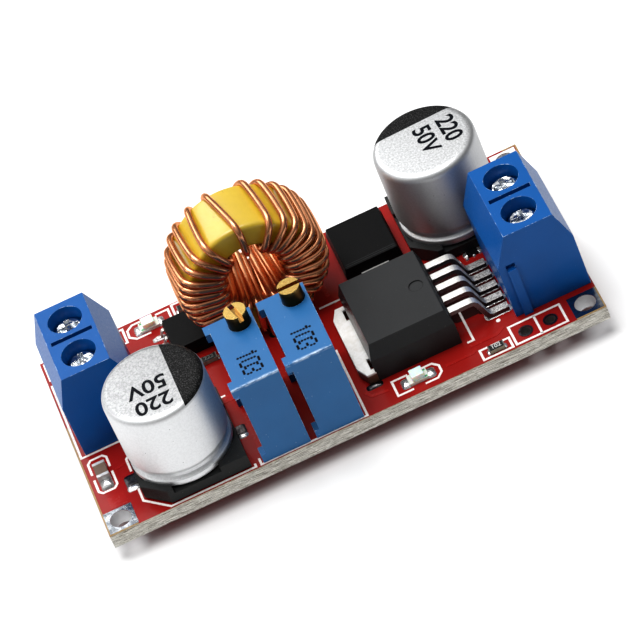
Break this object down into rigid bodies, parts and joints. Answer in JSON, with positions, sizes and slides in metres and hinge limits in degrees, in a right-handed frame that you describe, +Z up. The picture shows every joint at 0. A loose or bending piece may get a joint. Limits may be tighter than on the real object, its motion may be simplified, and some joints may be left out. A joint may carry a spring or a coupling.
{
  "type": "led driver module",
  "caption": "Open step-down driver module for lamps: a drilled circuit board with screw terminal blocks, multi-turn trimmers, can capacitors, a wound ring inductor and a power regulator.",
  "frame": {"origin": "centre of the module's outline at the level of the trimmed pin tails that it stands on", "axes": "+X along the board's long edge from the left terminal block to the right one, +Y from the trimmer side to the inductor side, +Z up from the board"},
  "size_m": [0.051, 0.026, 0.018],
  "materials": {
    "solder_mask_board": "glossy red solder mask over a pale glass-fibre board",
    "solder": "bright solder",
    "blue_block": "semi-gloss moulded blue plastic",
    "zinc_steel": "bright zinc plate",
    "tinned_metal": "matte tin plate",
    "trimmer_blue": "satin moulded blue plastic",
    "brass_screw": "turned brass",
    "can_aluminium": "satin drawn aluminium",
    "black_moulding": "matte black moulding",
    "yellow_core": "satin yellow coating on pressed iron powder",
    "copper_wire": "clear enamel on copper",
    "regulator_epoxy": "matte dark grey epoxy moulding",
    "lamp_base": "white laminate with plated ends",
    "lamp_resin": "clear resin",
    "chip_ceramic": "brown ceramic with tinned ends",
    "resistor_black": "black glaze with tinned ends"
  },
  "bodies": {
    "module": {"circuit_board": "solder_mask_board", "solder_joints": "solder", "left_block_housing": "blue_block", "left_block_contacts": "tinned_metal", "right_block_housing": "blue_block", "right_block_contacts": "tinned_metal", "left_trimmer_housing": "trimmer_blue", "left_trimmer_pins": "tinned_metal", "right_trimmer_housing": "trimmer_blue", "right_trimmer_pins": "tinned_metal", "front_capacitor_can": "can_aluminium", "front_capacitor_base": "black_moulding", "front_capacitor_leads": "tinned_metal", "rear_capacitor_can": "can_aluminium", "rear_capacitor_base": "black_moulding", "rear_capacitor_leads": "tinned_metal", "inductor_core": "yellow_core", "inductor_winding": "copper_wire", "regulator_body": "regulator_epoxy", "regulator_tab": "tinned_metal", "regulator_leads": "tinned_metal", "diode_body": "black_moulding", "diode_leads": "tinned_metal", "amplifier_body": "black_moulding", "amplifier_leads": "tinned_metal", "front_lamp_base": "lamp_base", "front_lamp_lens": "lamp_resin", "rear_lamp_base": "lamp_base", "rear_lamp_lens": "lamp_resin", "chip_capacitor": "chip_ceramic", "front_resistor": "resistor_black", "rear_resistor": "resistor_black", "middle_resistor": "resistor_black"},
    "left_front_clamp_screw": {"left_front_clamp_screw": "zinc_steel"},
    "left_front_clamp_cage": {"left_front_clamp_cage": "zinc_steel"},
    "left_rear_clamp_screw": {"left_rear_clamp_screw": "zinc_steel"},
    "left_rear_clamp_cage": {"left_rear_clamp_cage": "zinc_steel"},
    "right_front_clamp_screw": {"right_front_clamp_screw": "zinc_steel"},
    "right_front_clamp_cage": {"right_front_clamp_cage": "zinc_steel"},
    "right_rear_clamp_screw": {"right_rear_clamp_screw": "zinc_steel"},
    "right_rear_clamp_cage": {"right_rear_clamp_cage": "zinc_steel"},
    "left_trimmer_screw": {"left_trimmer_screw": "brass_screw"},
    "right_trimmer_screw": {"right_trimmer_screw": "brass_screw"}
  },
  "joints": [
    {"name": "left_front_screw_turn", "type": "hinge", "parent": "module", "child": "left_front_clamp_screw", "pos_m": [-0.02105, 0.00101, 0.0114], "axis": [0, 0, -1], "range_deg": [0, 1440]},
    {"name": "left_front_cage_rise", "type": "slide", "parent": "module", "child": "left_front_clamp_cage", "axis": [0, 0, 1], "range_m": [0, 0.002]},
    {"name": "left_rear_screw_turn", "type": "hinge", "parent": "module", "child": "left_rear_clamp_screw", "pos_m": [-0.02105, 0.00609, 0.0114], "axis": [0, 0, -1], "range_deg": [0, 1440]},
    {"name": "left_rear_cage_rise", "type": "slide", "parent": "module", "child": "left_rear_clamp_cage", "axis": [0, 0, 1], "range_m": [0, 0.002]},
    {"name": "right_front_screw_turn", "type": "hinge", "parent": "module", "child": "right_front_clamp_screw", "pos_m": [0.0217, -0.00669, 0.0114], "axis": [0, 0, -1], "range_deg": [0, 1440]},
    {"name": "right_front_cage_rise", "type": "slide", "parent": "module", "child": "right_front_clamp_cage", "axis": [0, 0, 1], "range_m": [0, 0.002]},
    {"name": "right_rear_screw_turn", "type": "hinge", "parent": "module", "child": "right_rear_clamp_screw", "pos_m": [0.0217, -0.00161, 0.0114], "axis": [0, 0, -1], "range_deg": [0, 1440]},
    {"name": "right_rear_cage_rise", "type": "slide", "parent": "module", "child": "right_rear_clamp_cage", "axis": [0, 0, 1], "range_m": [0, 0.002]},
    {"name": "left_trimmer_turn", "type": "hinge", "parent": "module", "child": "left_trimmer_screw", "pos_m": [-0.00615, -0.00472, 0.0144], "axis": [0, 0, 1], "continuous": true},
    {"name": "right_trimmer_turn", "type": "hinge", "parent": "module", "child": "right_trimmer_screw", "pos_m": [-0.00067, -0.00472, 0.0144], "axis": [0, 0, 1], "continuous": true}
  ],
  "couplings": [
    {"joint": "left_front_screw_turn", "follows": "left_front_cage_rise", "rad_per_m": 12566},
    {"joint": "left_rear_screw_turn", "follows": "left_rear_cage_rise", "rad_per_m": 12566},
    {"joint": "right_front_screw_turn", "follows": "right_front_cage_rise", "rad_per_m": 12566},
    {"joint": "right_rear_screw_turn", "follows": "right_rear_cage_rise", "rad_per_m": 12566}
  ]
}
